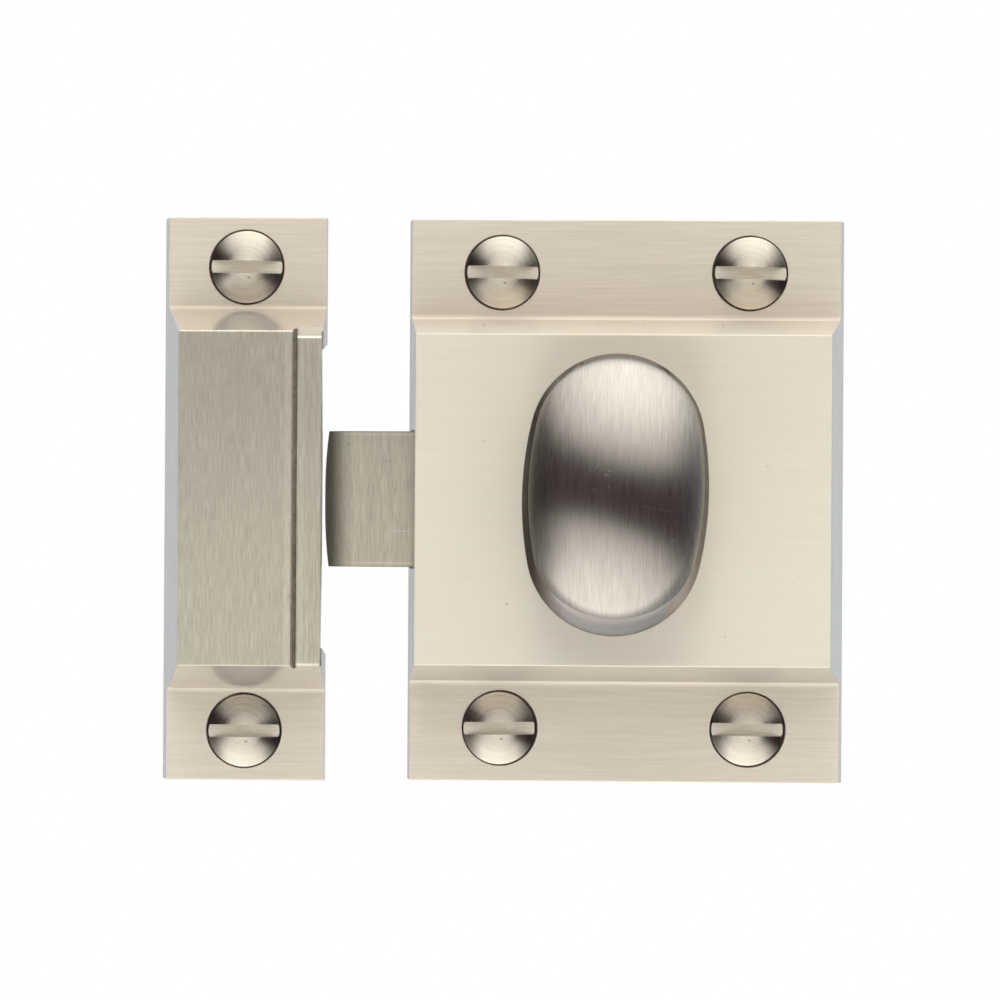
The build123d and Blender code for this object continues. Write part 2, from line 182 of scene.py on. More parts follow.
def makeStudio(s):
    world = bpy.data.worlds.new("studio")
    bpy.context.scene.world = world
    world.use_nodes = True
    tree = world.node_tree
    tree.nodes.clear()
    way = addNode(tree, "ShaderNodeTexCoord").outputs["Generated"]
    split = tree.nodes.new("ShaderNodeSeparateXYZ")
    join(tree, way, split.inputs[0])
    side = mathNode(tree, "ABSOLUTE", split.outputs["X"])
    boxes = []
    for box, sign in (("upper", 1.0), ("lower", -1.0)):
        lean = math.radians(s[box]["lean"])
        rise = vectorNode(tree, "DOT_PRODUCT", way, (sign * math.sin(lean), 0.0, sign * math.cos(lean)))
        climb = mathNode(tree, "ADD", mathNode(tree, "MULTIPLY", rise, s[box]["slope"]), s[box]["start"])
        glow = mathNode(tree, "MULTIPLY", climb, ramp(tree, rise, *s[box]["edge"]))
        start, end, left = s[box]["sides"]
        boxes.append(mathNode(tree, "MULTIPLY", glow, ramp(tree, side, start, end, s["gain"], s["gain"] * left)))
    light = mathNode(tree, "ADD", *boxes)
    black = (0.0, 0.0, 0.0)
    front = mixColour(tree, light, black, s["boxColour"])
    front = mixColour(tree, 1.0, front, s["gapColour"], "ADD")
    above = ramp(tree, split.outputs["Z"], *s["sheetRise"], 0.0, s["sheetTop"])
    sheet = mixColour(tree, above, s["sheetColour"], white)
    late = mathNode(tree, "MULTIPLY", mathNode(tree, "SUBTRACT", side, split.outputs["X"]), s["sheetShort"])
    back = mathNode(tree, "SUBTRACT", split.outputs["Y"], late)
    around = mixColour(tree, ramp(tree, back, *s["sheetFrom"]), front, sheet)
    path = tree.nodes.new("ShaderNodeLightPath")
    softer = mathNode(tree, "MULTIPLY", path.outputs["Is Diffuse Ray"], s["softLight"] - 1)
    sky = tree.nodes.new("ShaderNodeBackground")
    join(tree, mixColour(tree, path.outputs["Is Camera Ray"], around, white), sky.inputs["Color"])
    join(tree, mathNode(tree, "ADD", softer, 1.0), sky.inputs["Strength"])
    join(tree, sky.outputs[0], tree.nodes.new("ShaderNodeOutputWorld").inputs["Surface"])

    bpy.ops.mesh.primitive_circle_add(vertices=s["floorSides"], radius=s["floorRadius"] * mm, fill_type="NGON")
    floor = bpy.context.object
    floor.name = "floor"
    floor.location.z = cadLow.z - s["floorDrop"] * mm
    paint = bpy.data.materials.new("paleFloor")
    paint.use_nodes = True
    matt = paint.node_tree.nodes["Principled BSDF"]
    matt.inputs["Base Color"].default_value = (*s["floorColour"], 1.0)
    matt.inputs["Roughness"].default_value = s["floorRough"]
    floor.data.materials.append(paint)
    floor.visible_glossy = False  # the metal mirrors the soft box below instead


makeStudio(studio)
bpy.context.scene.view_settings.view_transform = "Standard"
print("studio lit")


# Metal finishes. Grooves run along one axis of the piece, or round it, and the gloss spreads across them: stretch is
# how far, spread how much the roughness varies, tone how much lighter and darker the strokes are, depth how deep.
# A mark is x, z, length, width (mm), degrees, and how light it is against the metal round it: most are nicks and
# scratches, some are painted highlights and painted shade along edges. A painted shade at an edge, a nose or a
# flank is where it starts, where it is whole (mm along x or z), and how light it is there.
finishes = {
    "brushedAcross": {  # the case's front
        "colour": (1.0, 0.942, 0.825), "metal": 0.45, "rough": 0.50, "spread": 0.04, "stretch": 1.0,
        "grooves": "x", "strokeLength": 6.0, "strokeWidth": 0.09, "tone": 0.028, "depth": 0.08,
        "marks": [
            (-10.3, -9.3, 0.20, 0.16, 0, 0.55), (-12.4, 5.2, 0.16, 0.12, 30, 0.70), (12.9, 3.1, 0.14, 0.14, 0, 0.65),
            (9.2, -12.1, 0.18, 0.12, 15, 0.70), (-16.1, 12.6, 0.14, 0.12, 0, 0.75), (15.8, -6.7, 0.9, 0.06, 8, 0.85),
        ],
    },
    "brushedUp": {  # the keeper's bridge and lip
        "colour": (0.945, 0.88, 0.73), "metal": 0.70, "rough": 0.56, "spread": 0.12, "stretch": 0.45,
        "grooves": "z", "strokeLength": 2.0, "strokeWidth": 0.07, "tone": 0.175, "depth": 0.26, "wide": 0.12,
        "drift": 0.12,  # rougher towards the foot
        "marks": [
            # the two lighter marks are painted highlights on the edges beside the groove, the darker one is painted
            # shade on the lip's right edge
            (-29.95, 0.0, 0.7, 60.0, 0, 1.10), (-28.8, 0.0, 0.6, 60.0, 0, 1.12), (-26.88, 0.0, 0.34, 60.0, 0, 0.60),
        ],
    },
    "boltBrushed": {
        "colour": (0.87, 0.84, 0.70), "metal": 0.70, "rough": 0.56, "spread": 0.12, "stretch": 0.45,
        "grooves": "z", "strokeLength": 2.0, "strokeWidth": 0.08, "tone": 0.17, "depth": 0.22,
        "drift": 0.11,
        "noseShade": (-24.0, -26.6, 0.25),  # painted shade: darker towards the rounded tip
        "marks": [
            (-19.9, -2.85, 2.4, 0.09, -4, 1.5), (-21.0, 3.4, 0.5, 0.07, 12, 0.65), (-24.6, 4.9, 0.18, 0.14, 0, 0.6),
            # the light bands along the top and bottom edges are painted highlights, the thin dark lines outside them
            # painted shade
            (-19.3, 5.78, 14.4, 0.20, 0, 1.13), (-19.3, -5.72, 14.4, 0.24, 0, 1.13),
            (-19.3, 6.05, 15.0, 0.10, 0, 0.55), (-19.3, -6.05, 15.0, 0.12, 0, 0.55),
        ],
    },
    "knobBrushed": {
        "colour": (0.55, 0.535, 0.495), "metal": 1.0, "rough": 0.29, "spread": 0.08, "stretch": 0.6,
        "grooves": "z", "strokeLength": 2.4, "strokeWidth": 0.085, "tone": 0.14, "depth": 0.10, "wide": 0.12,
        "scuffs": [(-1.9, 1.1, 2.2), (5.6, -3.0, 1.3)],  # x, z, radius of the two patches
        "marks": [(3.2, -0.8, 4.6, 0.05, -9, 1.7)],
        # painted shade: the dome darkens towards its left and right sides
        "leftShade": (-4.9, -7.8, 0.42), "rightShade": (4.9, 7.5, 0.64),
        "lowerRimShade": (-0.62, -3.8, 5.9, 6.75, 0.48),  # painted shade: x, z, the radii between which it darkens, tone
    },
    "knobEdge": {
        "colour": (0.62, 0.585, 0.555), "metal": 1.0, "rough": 0.16, "spread": 0.04, "stretch": 0.0,
        "grazing": 0.30,  # how much of the gloss is left when seen almost edge on
        "grooves": "x", "strokeLength": 2.5, "strokeWidth": 0.5, "tone": 0.04, "depth": 0.03,
        "leftShade": (-4.5, -8.0, 0.27), "rightShade": (4.5, 8.0, 0.85),  # painted shade: darker towards the left and right sides
        # painted shade: darker towards the bottom, and near the lower rim
        "lowShade": (-8.5, -11.5, 0.72), "lowerRimShade": (-0.62, -3.8, 7.2, 6.5, 0.62),
    },
    "endWall": {  # the slopes between flange and front
        "colour": (0.78, 0.725, 0.645), "metal": 0.60, "rough": 0.34, "spread": 0.06, "stretch": 0.9,
        "grooves": "x", "strokeLength": 5.0, "strokeWidth": 0.10, "tone": 0.05, "depth": 0.10,
        "marks": [
            (-12.66, 15.75, 0.10, 0.45, 0, 0.6), (-2.4, 15.75, 0.09, 0.40, 0, 0.75),
            (1.8, 15.75, 0.09, 0.45, 0, 0.7), (8.85, 15.75, 0.09, 0.50, 0, 0.65),
        ],
    },
    "buffed": {  # the side walls, where the brush didn't reach
        "colour": (0.80, 0.785, 0.77), "metal": 0.65, "rough": 0.24, "spread": 0.04, "stretch": 0.0,
        "grooves": "z", "strokeLength": 3.0, "strokeWidth": 0.14, "tone": 0.06, "depth": 0.02,
    },
    "screwTurned": {
        "colour": (0.90, 0.845, 0.745), "metal": 1.0, "rough": 0.28, "spread": 0.06, "stretch": 0.93,
        "grooves": "round", "strokeLength": 1.2, "strokeWidth": 0.10, "tone": 0.10, "depth": 0.12,
        "burrs": (0.60, 0.80, 1.25),  # lighter torn metal along the slot
        "marks": [(0.25, -0.98, 0.34, 0.20, 0, 0.55)],
        "core": (0.9, 2.0, 0.58, 0.40),  # between these radii a matt middle ends: its roughness, its metal
        "flankShade": (1.3, 2.9, 0.30),  # painted shade: the dome is darker towards both ends of the slot
    },
    "screwShank": {
        "colour": (0.56, 0.53, 0.48), "metal": 0.9, "rough": 0.36, "spread": 0.08, "stretch": 0.0,
        "grooves": "y", "strokeLength": 0.6, "strokeWidth": 0.15, "tone": 0.10, "depth": 0.10,
    },
    "screwSlot": {
        "colour": (0.93, 0.86, 0.745), "metal": 0.5, "rough": 0.48, "spread": 0.12, "stretch": 0.9,
        "grooves": "x", "strokeLength": 2.0, "strokeWidth": 0.08, "tone": 0.12, "depth": 0.30,
    },
    "asCastShaded": {  # the hollow insides, plated but never brushed; the darker colour is also painted shade there and in the countersinks and the keeper's groove
        "colour": (0.62, 0.57, 0.50), "metal": 0.9, "rough": 0.52, "spread": 0.15, "stretch": 0.0,
        "grooves": "x", "strokeLength": 0.35, "strokeWidth": 0.35, "tone": 0.20, "depth": 0.60,
    },
    "plainBrass": {
        "colour": (0.83, 0.62, 0.30), "metal": 1.0, "rough": 0.33, "spread": 0.12, "stretch": 0.5,
        "grooves": "x", "strokeLength": 12.0, "strokeWidth": 0.25, "tone": 0.14, "depth": 0.12,
    },
    "zincSteel": {
        "colour": (0.60, 0.61, 0.62), "metal": 1.0, "rough": 0.30, "spread": 0.12, "stretch": 0.0,
        "grooves": "x", "strokeLength": 0.5, "strokeWidth": 0.3, "tone": 0.15, "depth": 0.12,
    },
    "springWire": {
        "colour": (0.55, 0.55, 0.54), "metal": 1.0, "rough": 0.24, "spread": 0.08, "stretch": 0.0,
        "grooves": "x", "strokeLength": 1.0, "strokeWidth": 0.1, "tone": 0.12, "depth": 0.08,
    },
}
finishes["brushedFlange"] = dict(finishes["brushedAcross"], colour=(0.93, 0.865, 0.755), tone=0.065, marks=[])
# painted shade: the end walls facing down get a darker copy of the end walls' finish
finishes["endWallLowShaded"] = dict(finishes["endWall"], colour=(0.65, 0.60, 0.535), marks=[])
finishes["keeperEnd"] = dict(finishes["endWallLowShaded"], colour=(0.80, 0.745, 0.665), rough=0.19, stretch=0.0)
finishes["buffedBack"] = dict(finishes["buffed"], colour=(0.60, 0.58, 0.555), metal=0.8)
# painted shade: the lip's rolled ends are darker still
finishes["lipEndShaded"] = dict(finishes["keeperEnd"], colour=(0.50, 0.465, 0.415), rough=0.45)
# painted shade: the keeper's lower end wall is a darker copy of its upper one
finishes["keeperEndLowShaded"] = dict(finishes["keeperEnd"], colour=(0.66, 0.615, 0.55))

# What all the finishes share
brushing = {
    "wide": 0.25,  # the share of broad streaks among the fine strokes
    "streaks": (3, 6),  # how much longer and wider they are
    "fineDetail": 4.0, "broadDetail": 2.0, "strokeRough": 0.6,
    "toneRange": (0.3, 0.7), "glossRange": (0.25, 0.75),  # the part of the noise that shows
    "blotchScale": 160.0, "blotchShare": 0.3,  # patches of other gloss
    "strokeHeight": 0.02,  # mm
    "roundStep": 0.4,  # mm of stroke for each radian of a round groove
    "markFade": (1.2, 0.6),  # from outside to inside, in radii of the mark
    "driftFrom": 16.0,  # mm above and below the middle
    "rimShadeFrom": (-5.0, -8.0),  # mm, where the painted shade of the lower rim starts and is whole
    "burrSize": (0.35, 0.12), "burrRange": (0.5, 0.62),
    "scratchScale": 2200.0, "scratchWidth": (0.03, 0.012), "scratchColour": (1.0, 0.98, 0.94),
    "gapScale": 1100.0, "gapRange": (0.53, 0.60),  # where a scratch is broken
}


def strokes(tree, spot, grooves, length, width, detail=brushing["fineDetail"]):
    scale = [1 / (width * mm)] * 3
    if grooves == "round":
        apart = tree.nodes.new("ShaderNodeSeparateXYZ")
        join(tree, spot, apart.inputs[0])
        x, z = apart.outputs["X"], apart.outputs["Z"]
        squares = [mathNode(tree, "MULTIPLY", side, side) for side in (x, z)]
        reach = mathNode(tree, "SQRT", mathNode(tree, "ADD", *squares))
        angle = mathNode(tree, "MULTIPLY", mathNode(tree, "ARCTAN2", z, x), brushing["roundStep"] * mm)
        flat = tree.nodes.new("ShaderNodeCombineXYZ")
        for slot, value in enumerate((angle, apart.outputs["Y"], reach)):
            join(tree, value, flat.inputs[slot])
        spot = flat.outputs[0]
        scale[0] = 1 / (length * mm)
    else:
        scale["xyz".index(grooves)] = 1 / (length * mm)
        if grooves == "z":
            scale[1] = scale[2]
    fit = tree.nodes.new("ShaderNodeMapping")
    fit.inputs["Scale"].default_value = scale
    join(tree, spot, fit.inputs["Vector"])
    noise = addNode(tree, "ShaderNodeTexNoise", Scale=1.0, Detail=detail, Roughness=brushing["strokeRough"])
    join(tree, fit.outputs[0], noise.inputs["Vector"])
    return noise.outputs["Fac"]


def within(tree, spot, place, size, degrees=0.0):  # 1 inside an ellipse in the x-z plane, 0 outside, soft between
    fit = tree.nodes.new("ShaderNodeMapping")
    fit.vector_type = "TEXTURE"
    fit.inputs["Location"].default_value = (place[0] * mm, 0.0, place[1] * mm)
    fit.inputs["Rotation"].default_value = (0.0, math.radians(-degrees), 0.0)
    fit.inputs["Scale"].default_value = (size[0] / 2 * mm, 1.0, size[1] / 2 * mm)
    join(tree, spot, fit.inputs["Vector"])
    return ramp(tree, vectorNode(tree, "LENGTH", fit.outputs[0]), *brushing["markFade"])


def scuffed(tree, spot, patches):  # short crooked scratches inside round patches
    thin = addNode(tree, "ShaderNodeTexNoise", Scale=brushing["scratchScale"], Detail=2.0)
    broken = addNode(tree, "ShaderNodeTexNoise", Scale=brushing["gapScale"], Detail=1.0)
    for noise in (thin, broken):
        join(tree, spot, noise.inputs["Vector"])
    off = mathNode(tree, "ABSOLUTE", mathNode(tree, "SUBTRACT", thin.outputs["Fac"], 0.5))
    kept = ramp(tree, broken.outputs["Fac"], *brushing["gapRange"])
    line = mathNode(tree, "MULTIPLY", ramp(tree, off, *brushing["scratchWidth"]), kept)
    where = [within(tree, spot, (x, z), (2 * r, 2 * r)) for x, z, r in patches]
    return mathNode(tree, "MULTIPLY", line, mathNode(tree, "MAXIMUM", *where))


def mixTint(tree, spot, both, f):  # the colour with its strokes, marks and scuffs, and the painted shade at its edges, nose, flanks and lower rim
    dark = tuple(c * (1 - f["tone"]) for c in f["colour"])
    light = tuple(min(1.0, c * (1 + f["tone"])) for c in f["colour"])
    tint = mixColour(tree, ramp(tree, both, *brushing["toneRange"]), dark, light)

    def toned(share, tone):
        return mixColour(tree, share, tint, mixColour(tree, 1.0, tint, (tone, tone, tone), "MULTIPLY"))

    for x, z, length, width, degrees, tone in f.get("marks", []):
        tint = toned(within(tree, spot, (x, z), (length, width), degrees), tone)
    if "scuffs" in f:
        tint = mixColour(tree, scuffed(tree, spot, f["scuffs"]), tint, brushing["scratchColour"])
    apart = tree.nodes.new("ShaderNodeSeparateXYZ")
    join(tree, spot, apart.inputs[0])
    # painted shade towards a tip, a side or the bottom
    for change in ("noseShade", "leftShade", "rightShade", "lowShade"):
        if change in f:
            start, end, tone = f[change]
            reach = apart.outputs["Z" if change == "lowShade" else "X"]
            tint = toned(ramp(tree, reach, start * mm, end * mm), tone)
    # painted shade towards both ends of a screw's slot
    if "flankShade" in f:
        start, end, tone = f["flankShade"]
        tint = toned(ramp(tree, mathNode(tree, "ABSOLUTE", apart.outputs["X"]), start * mm, end * mm), tone)
    if "burrs" in f:
        start, end, tone = f["burrs"]
        torn = strokes(tree, spot, "x", *brushing["burrSize"], brushing["broadDetail"])
        beside = ramp(tree, mathNode(tree, "ABSOLUTE", apart.outputs["Z"]), end * mm, start * mm)
        tint = toned(mathNode(tree, "MULTIPLY", beside, ramp(tree, torn, *brushing["burrRange"])), tone)
    # painted shade round the lower rim of the knob's dome
    if "lowerRimShade" in f:
        x, z, start, end, tone = f["lowerRimShade"]
        flat = vectorNode(tree, "MULTIPLY", spot, (1.0, 0.0, 1.0))
        away = vectorNode(tree, "DISTANCE", flat, (x * mm, 0.0, z * mm))
        below = ramp(tree, apart.outputs["Z"], *(height * mm for height in brushing["rimShadeFrom"]))
        tint = toned(mathNode(tree, "MULTIPLY", ramp(tree, away, start * mm, end * mm), below), tone)
    return tint


def mixGloss(tree, spot, both, f):  # the roughness, and the share of metal where it changes
    blotch = addNode(tree, "ShaderNodeTexNoise", Scale=brushing["blotchScale"], Detail=2.0)
    join(tree, spot, blotch.inputs["Vector"])
    share = brushing["blotchShare"]
    streaky = mathNode(tree, "MULTIPLY", both, 1 - share)
    patchy = mathNode(tree, "ADD", streaky, mathNode(tree, "MULTIPLY", blotch.outputs["Fac"], share))
    low, high = f["rough"] - f["spread"] / 2, f["rough"] + f["spread"] / 2
    gloss = ramp(tree, patchy, *brushing["glossRange"], low, high)
    metal = None
    if "drift" in f:
        apart = tree.nodes.new("ShaderNodeSeparateXYZ")
        join(tree, spot, apart.inputs[0])
        height = brushing["driftFrom"] * mm
        gloss = mathNode(tree, "ADD", gloss, ramp(tree, apart.outputs["Z"], height, -height, -f["drift"], f["drift"]))
    if "core" in f:
        start, end, rough, plated = f["core"]
        reach = vectorNode(tree, "LENGTH", vectorNode(tree, "MULTIPLY", spot, (1.0, 0.0, 1.0)))
        gloss = mathNode(tree, "MAXIMUM", gloss, ramp(tree, reach, start * mm, end * mm, rough, 0.0))
        metal = ramp(tree, reach, start * mm, end * mm, plated, f["metal"])
    return gloss, metal


def acrossGrooves(tree, spot, grooves):  # the direction in which the gloss spreads
    turn = tree.nodes.new("ShaderNodeVectorTransform")
    turn.vector_type, turn.convert_from, turn.convert_to = "VECTOR", "OBJECT", "WORLD"
    if grooves == "round":
        join(tree, vectorNode(tree, "MULTIPLY", spot, (1 / mm, 0.0, 1 / mm)), turn.inputs[0])
    else:
        turn.inputs[0].default_value = {"x": (0.0, 0.0, 1.0), "z": (1.0, 0.0, 0.0)}[grooves]
    return turn.outputs[0]


def makeFinish(name, f):
    paint = bpy.data.materials.new(name)
    paint.use_nodes = True
    tree = paint.node_tree
    shader = tree.nodes["Principled BSDF"]
    shader.inputs["Metallic"].default_value = f["metal"]
    spot = tree.nodes.new("ShaderNodeTexCoord").outputs["Object"]
    length, width = f["strokeLength"], f["strokeWidth"]
    longer, wider = brushing["streaks"]
    fine = strokes(tree, spot, f["grooves"], length, width)
    broad = strokes(tree, spot, f["grooves"], length * longer, width * wider, brushing["broadDetail"])
    wide = f.get("wide", brushing["wide"])
    both = mathNode(tree, "ADD", mathNode(tree, "MULTIPLY", fine, 1 - wide), mathNode(tree, "MULTIPLY", broad, wide))

    join(tree, mixTint(tree, spot, both, f), shader.inputs["Base Color"])
    gloss, metal = mixGloss(tree, spot, both, f)
    join(tree, gloss, shader.inputs["Roughness"])
    if metal:
        join(tree, metal, shader.inputs["Metallic"])
    if "grazing" in f:
        shader.inputs["Specular Tint"].default_value = (f["grazing"], f["grazing"], f["grazing"], 1.0)

    bump = addNode(tree, "ShaderNodeBump", Strength=f["depth"], Distance=brushing["strokeHeight"] * mm)
    join(tree, fine, bump.inputs["Height"])
    join(tree, bump.outputs[0], shader.inputs["Normal"])
    if f["stretch"]:
        shader.inputs["Anisotropic"].default_value = f["stretch"]
        join(tree, acrossGrooves(tree, spot, f["grooves"]), shader.inputs["Tangent"])
    return paint


paints = {name: makeFinish(name, f) for name, f in finishes.items()}
print("finishes mixed:", len(paints))


# Mesh helpers
def asMesh(work, name):
    mesh = bpy.data.meshes.new(name)
    work.to_mesh(mesh)
    work.free()
    return mesh


def smooth(mesh, degrees):  # rounded shading, with edges steeper than this kept sharp
    mesh.shade_smooth()
    mesh.set_sharp_from_angle(angle=math.radians(degrees))


def addPiece(name, mesh):
    piece = bpy.data.objects.new(name, mesh)
    bpy.context.scene.collection.objects.link(piece)
    return piece


def prism(points, axis, start, end):  # a block with the outline of these points (across, depth), along x or z
    work = bmesh.new()
    rows = []
    for reach in (start, end):
        spots = [(a, -d, reach) if axis == "z" else (reach, -d, a) for a, d in points]
        rows.append([work.verts.new(Vector(spot) * mm) for spot in spots])
    work.faces.new(rows[0])
    work.faces.new(rows[1])
    for i in range(len(points)):
        j = (i + 1) % len(points)
        work.faces.new((rows[0][i], rows[0][j], rows[1][j], rows[1][i]))
    bmesh.ops.recalc_face_normals(work, faces=work.faces)
    return asMesh(work, "cutter")


def carve(mesh, cutters):
    body = addPiece("blank", mesh)
    tools = [addPiece("cutter", cutter) for cutter in cutters]
    for tool in tools:
        cut = body.modifiers.new("cut", "BOOLEAN")
        cut.object, cut.operation, cut.solver = tool, "DIFFERENCE", "EXACT"
    view = body.evaluated_get(bpy.context.evaluated_depsgraph_get())
    made = bpy.data.meshes.new_from_object(view)
    for piece in (body, *tools):
        bpy.data.objects.remove(piece)
    return made


def loft(name, rings, finishOf, sharp):  # rings of equally many points in mm, and the finish after each ring
    names = sorted(set(finishOf))
    count = len(rings[0])
    work = bmesh.new()
    rows = [[work.verts.new(Vector(p) * mm) for p in ring] for ring in rings]
    for k in range(len(rows) - 1):
        for i in range(count):
            j = (i + 1) % count
            face = work.faces.new((rows[k][i], rows[k][j], rows[k + 1][j], rows[k + 1][i]))
            face.material_index = names.index(finishOf[k])
    for row, finish in ((rows[0], finishOf[0]), (rows[-1], finishOf[-1])):
        face = work.faces.new(row)
        face.material_index = names.index(finish)
    bmesh.ops.recalc_face_normals(work, faces=work.faces)
    mesh = asMesh(work, name)
    for finish in names:
        mesh.materials.append(paints[finish])
    smooth(mesh, sharp)
    return addPiece(name, mesh)


def paintFaces(mesh, names, choose):  # choose gives the finish of a face from its middle (mm) and its normal
    mesh.materials.clear()
    for name in names:
        mesh.materials.append(paints[name])
    for face in mesh.polygons:
        face.material_index = names.index(choose(face.center / mm, face.normal))


# The castings: fronts are brushed, walls only buffed, and the insides stay as they were cast, in a darker colour that
# is also painted shade in the recesses. The case keeps its solid, and the keeper gets a carved copy. Sizes are in mm,
# drafts in degrees.
castings = {
    "flange": 2.4, "end": 25.0,  # the flanges' thickness, and the height past which a face closes a casting
    "caseFront": 9.5, "caseFoot": 16.4, "caseFace": 14.8, "caseHalfWidth": 19.7, "sideDraft": 6.7,
    "keeperFront": 10.0, "keeperFoot": 17.25, "keeperFace": 14.97, "lipFront": 9.4, "lipEdge": -26.9,
    "keeperLeft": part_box("keeper")[0].x / mm, "keeperDraft": 12.5,
    "screws": [(x, z) for x, _, z in (sum(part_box(name), Vector()) / (2 * mm) for name in nodes if "screw" in name)],
    "screwHole": 3.6,
    "grooveLeft": -29.58, "grooveRight": -29.16, "grooveFloor": 9.15,  # the dark line beside the lip
    "grooveSlope": 0.17, "grooveReach": 18.0,
    "lipTop": 14.35, "lipBottom": 14.75,  # the lip's ends roll over short of the bridge's
    "lipStart": 0.3, "lipRound": ((0.0, 0.03), (0.2, 0.15)), "lipRoll": 0.8, "lipReach": 0.45,
    "past": 0.6, "lipPast": (0.5, 1.0),  # how far the cutters stand out of the metal
    "flatter": 0.5, "sharp": 12,  # degrees, below which faces are joined and above which edges are sharp
}

# How near a face lies to the place that gives it its finish (mm), and how far it faces one way (share of its normal)
near = {
    "hair": 0.02, "edge": 0.05, "floor": 0.1, "wall": 0.12, "front": 0.2, "lip": 0.25, "above": 0.3, "fold": 0.6,
    "lipSide": 1.0,
}
facing = {
    "sloped": 0.3, "rolled": 0.35, "level": 0.5, "forward": 0.6, "aside": 0.7, "upright": 0.8, "flat": 0.9,
    "front": 0.95,
}


def inCountersink(middle, normal, c=castings):
    steep = normal.y > -facing["front"] and -middle.y < c["flange"] - near["hair"]
    return steep and any(math.hypot(middle.x - x, middle.z - z) < c["screwHole"] for x, z in c["screws"])


def caseFinish(middle, normal, c=castings):
    depth, z, x = -middle.y, abs(middle.z), abs(middle.x)
    wall = c["caseHalfWidth"] - depth * math.tan(math.radians(c["sideDraft"]))
    # painted shade: the countersinks take the darker as-cast colour
    if inCountersink(middle, normal):
        return "asCastShaded"
    if depth < near["wall"] and normal.y > facing["flat"]:
        return "buffedBack"
    if abs(normal.x) > facing["upright"] and x > wall - near["wall"]:
        return "buffed"
    if depth > c["caseFront"] - near["front"] and z < c["caseFace"] + near["wall"]:
        return "brushedAcross"
    onEnd = z > c["caseFace"] - near["wall"] and abs(normal.z) > facing["sloped"]
    if onEnd and depth > c["flange"] + near["above"]:
        return "endWall" if middle.z > 0 else "endWallLowShaded"
    if z > c["caseFoot"] - near["fold"] and depth > c["flange"] - near["front"]:
        return "brushedFlange"
    if abs(normal.z) > facing["flat"] and z > c["end"]:
        return "buffed"
    return "asCastShaded"


def keeperFinish(middle, normal, c=castings):
    depth, z, x = -middle.y, abs(middle.z), middle.x
    onFace = z < c["keeperFace"] + near["above"]
    inGroove = c["grooveLeft"] - near["edge"] < x < c["grooveRight"] + near["hair"]
    # painted shade: the countersinks take the darker as-cast colour
    if inCountersink(middle, normal):
        return "asCastShaded"
    # painted shade: the floor of the groove beside the lip takes the darker as-cast colour, besides the shade its
    # carved shape gives
    if onFace and inGroove and depth < c["keeperFront"] - near["hair"]:
        return "asCastShaded" if depth > c["grooveFloor"] - near["floor"] else "buffed"
    if onFace and normal.y < -facing["forward"] and depth > c["lipFront"] - near["lip"]:
        return "brushedUp"
    onStep = x < c["lipEdge"] - near["lipSide"] and depth > c["lipFront"] - near["front"]
    if onStep and abs(normal.z) < facing["level"] < normal.x:
        return "brushedUp"
    onFlange = z > c["keeperFoot"] - near["fold"] and depth > c["flange"] - near["front"]
    if onFlange and normal.y < -facing["level"]:
        return "brushedFlange"
    onEnd = c["lipTop"] - near["wall"] < z < c["keeperFoot"] + near["fold"] and abs(normal.z) > facing["sloped"]
    if onEnd and depth > c["flange"] + near["above"]:
        if normal.y < -facing["rolled"] and x > c["grooveRight"] - near["edge"]:
            return "lipEndShaded"
        return "keeperEnd" if middle.z > 0 else "keeperEndLowShaded"
    if abs(normal.z) > facing["flat"] and z > c["end"]:
        return "buffed"
    if depth < near["wall"] and normal.y > facing["flat"]:
        return "buffedBack"
    if x < c["keeperLeft"] + depth * math.tan(math.radians(c["keeperDraft"])) + near["wall"]:
        return "buffed"
    if normal.x > facing["upright"] and x > c["lipEdge"] - near["lipSide"]:
        return "buffed"
    return "asCastShaded"


def makeKeeper(c):  # a copy of the keeper's solid, with the groove and the lip's ends cut
    work = bmesh.new()
    work.from_mesh(nodes["keeper"].data)
    bmesh.ops.remove_doubles(work, verts=work.verts, dist=weld)
    flatter = math.radians(c["flatter"])
    bmesh.ops.dissolve_limit(work, angle_limit=flatter, verts=work.verts, edges=work.edges)
    bmesh.ops.triangulate(work, faces=work.faces)
    left, right, floor, slope = c["grooveLeft"], c["grooveRight"], c["grooveFloor"], c["grooveSlope"]
    front, lip, out = c["keeperFront"], c["lipFront"], c["keeperFront"] + c["past"]
    line = [(left - near["edge"], out), (left, front), (left + slope, floor)]
    line += [(right - slope, floor), (right, lip), (right, out)]
    cutters = [prism(line, "z", -c["grooveReach"], c["grooveReach"])]
    foot, far = lip - c["lipRoll"], c["keeperFace"] + c["lipReach"]
    beyond, over = c["lipPast"]
    for sign, end in ((1, c["lipTop"]), (-1, c["lipBottom"])):
        corner = [(end - c["lipStart"], lip + over), (end - c["lipStart"], lip)]
        corner += [(end + reach, lip - drop) for reach, drop in c["lipRound"]]
        corner += [(far, foot), (far + beyond, foot), (far + beyond, lip + over)]
        mirrored = [(sign * a, d) for a, d in corner]
        cutters.append(prism(mirrored, "x", right - near["hair"], c["lipEdge"] + c["past"]))
    mesh = carve(asMesh(work, "keeperBlank"), cutters)
    smooth(mesh, c["sharp"])
    piece = addPiece("keeperCasting", mesh)
    painted = ["brushedUp", "brushedFlange", "keeperEnd", "keeperEndLowShaded", "lipEndShaded", "buffed", "buffedBack", "asCastShaded"]
    paintFaces(mesh, painted, keeperFinish)
    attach(piece, "root")
    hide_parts("keeper")


painted = ["brushedAcross", "brushedFlange", "endWall", "endWallLowShaded", "buffed", "buffedBack", "asCastShaded"]
paintFaces(nodes["case"].data, painted, caseFinish)
makeKeeper(castings)

